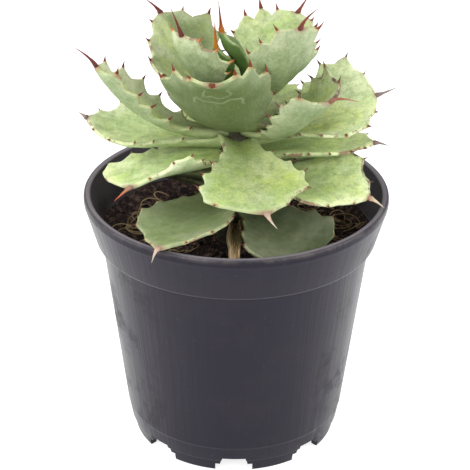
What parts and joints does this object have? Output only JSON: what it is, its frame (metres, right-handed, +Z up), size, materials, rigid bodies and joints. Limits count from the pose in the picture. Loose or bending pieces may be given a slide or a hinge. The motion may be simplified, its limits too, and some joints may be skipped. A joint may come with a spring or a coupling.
{
  "type": "potted agave",
  "caption": "Compact rosette of broad, toothed, spine-tipped succulent leaves on a short stem, growing in a round tapered nursery pot filled with soil.",
  "frame": {"origin": "centre of the pot's foot ring, on the surface it stands on", "axes": "+Z up along the pot's axis; the front is -Y; +X is to the right seen from the front"},
  "size_m": [0.133, 0.131, 0.2052],
  "materials": {
    "pot_plastic": "satin",
    "soil": "crumbly, dry",
    "stem": "matte",
    "dry_leaf": "dry, fibrous",
    "leaf": "waxy bloom",
    "young_leaf": "waxy",
    "old_spine": "horny, satin",
    "young_spine": "horny, glossy"
  },
  "bodies": {
    "root": {"pot": "pot_plastic", "soil": "soil", "stem": "stem", "dry_leaf": "dry_leaf", "leaf_01": "leaf", "spine_01": "old_spine", "leaf_02": "leaf", "spine_02": "old_spine", "leaf_03": "leaf", "spine_03": "old_spine", "leaf_04": "leaf", "spine_04": "old_spine", "leaf_05": "leaf", "spine_05": "old_spine", "leaf_06": "leaf", "spine_06": "old_spine", "leaf_07": "leaf", "spine_07": "old_spine", "leaf_08": "leaf", "spine_08": "old_spine", "leaf_09": "leaf", "spine_09": "old_spine", "leaf_10": "leaf", "spine_10": "old_spine", "leaf_11": "leaf", "spine_11": "old_spine", "leaf_12": "leaf", "spine_12": "old_spine", "leaf_13": "leaf", "spine_13": "old_spine", "leaf_14": "leaf", "spine_14": "old_spine", "leaf_15": "leaf", "spine_15": "old_spine", "leaf_16": "leaf", "spine_16": "young_spine", "leaf_17": "leaf", "spine_17": "young_spine", "leaf_18": "leaf", "spine_18": "young_spine", "leaf_19": "leaf", "spine_19": "young_spine", "leaf_20": "leaf", "spine_20": "young_spine", "leaf_21": "leaf", "spine_21": "young_spine", "leaf_22": "leaf", "spine_22": "young_spine", "leaf_23": "leaf", "spine_23": "young_spine", "leaf_24": "young_leaf", "spine_24": "young_spine", "leaf_25": "young_leaf", "spine_25": "young_spine"}
  },
  "joints": []
}
